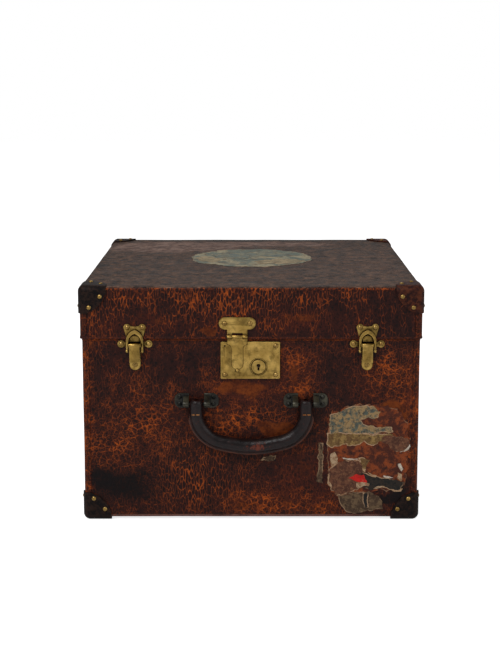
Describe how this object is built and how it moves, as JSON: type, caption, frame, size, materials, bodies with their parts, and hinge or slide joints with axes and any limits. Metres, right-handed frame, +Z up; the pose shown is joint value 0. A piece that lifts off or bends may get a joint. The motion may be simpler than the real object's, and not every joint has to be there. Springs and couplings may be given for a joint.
{
  "type": "hat box",
  "caption": "Square leather-covered hat box with a hinged lid, brass lock and hasp, draw catches, capped corners and a swinging carrying handle.",
  "frame": {"origin": "middle of the whole object's footprint, on the plane it stands on", "axes": "+Z up, the lock and handle face -Y, +X to the right seen from the front"},
  "size_m": [0.4108, 0.4248, 0.2889],
  "materials": {
    "board": "raw laminated board",
    "case_leather": "old, crazed and waxed",
    "top_leather": "old, crazed, dry sheen",
    "cap_leather": "pressed, dark, rubbed edges",
    "handle_leather": "polished by hand",
    "lining": "plain woven cotton",
    "brass": "aged, satin",
    "rivet_brass": "aged, domed",
    "steel": "dull",
    "japanned": "black lacquer, worn",
    "label_paper": "torn and stained"
  },
  "bodies": {
    "body": {"body_front_board": "board", "body_back_board": "board", "body_left_board": "board", "body_right_board": "board", "body_base_board": "board", "body_front_leather": "case_leather", "body_back_leather": "case_leather", "body_side_leathers": "case_leather", "body_base_leather": "case_leather", "body_lining": "lining", "rim_lip": "lining", "base_cap_front_left": "cap_leather", "base_cap_front_right": "cap_leather", "base_cap_back_left": "cap_leather", "base_cap_back_right": "cap_leather", "body_rivets": "rivet_brass", "lock_plate": "brass", "lock_case": "steel", "catch_base_left": "brass", "catch_base_right": "brass", "catch_pivot_pins": "steel", "handle_brackets_left": "japanned", "handle_brackets_right": "japanned", "handle_bracket_rivets": "japanned", "handle_pins": "steel", "hinge_body_leaves": "brass", "hinge_pins": "steel", "front_labels": "label_paper"},
    "lid": {"lid_front_board": "board", "lid_back_board": "board", "lid_left_board": "board", "lid_right_board": "board", "lid_top_board": "board", "lid_front_leather": "case_leather", "lid_back_leather": "case_leather", "lid_side_leathers": "case_leather", "lid_top_leather": "top_leather", "lid_lining": "lining", "lid_cap_front_left": "cap_leather", "lid_cap_front_right": "cap_leather", "lid_cap_back_left": "cap_leather", "lid_cap_back_right": "cap_leather", "lid_rivets": "rivet_brass", "catch_keeper_left": "brass", "catch_keeper_right": "brass", "hasp_strap": "brass", "hasp_pin": "steel", "hinge_lid_leaves": "brass", "top_label": "label_paper"},
    "hasp": {"hasp": "brass"},
    "key_plug": {"key_plug": "brass"},
    "lock_bolt": {"lock_bolt": "steel"},
    "handle": {"handle_grip": "handle_leather", "handle_core": "steel"},
    "lever_left": {"catch_lever_left": "brass", "link_pin_left": "steel"},
    "link_left": {"catch_link_left": "brass"},
    "lever_right": {"catch_lever_right": "brass", "link_pin_right": "steel"},
    "link_right": {"catch_link_right": "brass"}
  },
  "joints": [
    {"name": "lid_open", "type": "hinge", "parent": "body", "child": "lid", "pos_m": [0, 0.20985, 0.223], "axis": [-1, 0, 0], "range_deg": [0, 100]},
    {"name": "hasp_flip", "type": "hinge", "parent": "lid", "child": "hasp", "pos_m": [-0.0163, -0.19935, 0.2262], "axis": [-1, 0, 0], "range_deg": [0, 170]},
    {"name": "handle_swing", "type": "hinge", "parent": "body", "child": "handle", "pos_m": [0, -0.20395, 0.146], "axis": [-1, 0, 0], "range_deg": [0, 150]},
    {"name": "key_turn", "type": "hinge", "parent": "body", "child": "key_plug", "pos_m": [0.0087, -0.19815, 0.1898], "axis": [0, 1, 0], "range_deg": [0, 90]},
    {"name": "bolt_shoot", "type": "slide", "parent": "body", "child": "lock_bolt", "axis": [-1, 0, 0], "range_m": [0, 0.00566]},
    {"name": "lever_lift_left", "type": "hinge", "parent": "body", "child": "lever_left", "pos_m": [-0.137, -0.20175, 0.2162], "axis": [-1, 0, 0], "range_deg": [-5, 120]},
    {"name": "link_turn_left", "type": "hinge", "parent": "lever_left", "child": "link_left", "pos_m": [-0.137, -0.20075, 0.2092], "axis": [-1, 0, 0], "range_deg": [-150, 6.25]},
    {"name": "lever_lift_right", "type": "hinge", "parent": "body", "child": "lever_right", "pos_m": [0.137, -0.20175, 0.2162], "axis": [-1, 0, 0], "range_deg": [-5, 120]},
    {"name": "link_turn_right", "type": "hinge", "parent": "lever_right", "child": "link_right", "pos_m": [0.137, -0.20075, 0.2092], "axis": [-1, 0, 0], "range_deg": [-150, 6.25]}
  ],
  "couplings": [
    {"joint": "bolt_shoot", "follows": "key_turn", "m_per_rad": 0.0036},
    {"joint": "link_turn_left", "follows": "lever_lift_left", "ratio": -1.25},
    {"joint": "link_turn_right", "follows": "lever_lift_right", "ratio": -1.25}
  ]
}
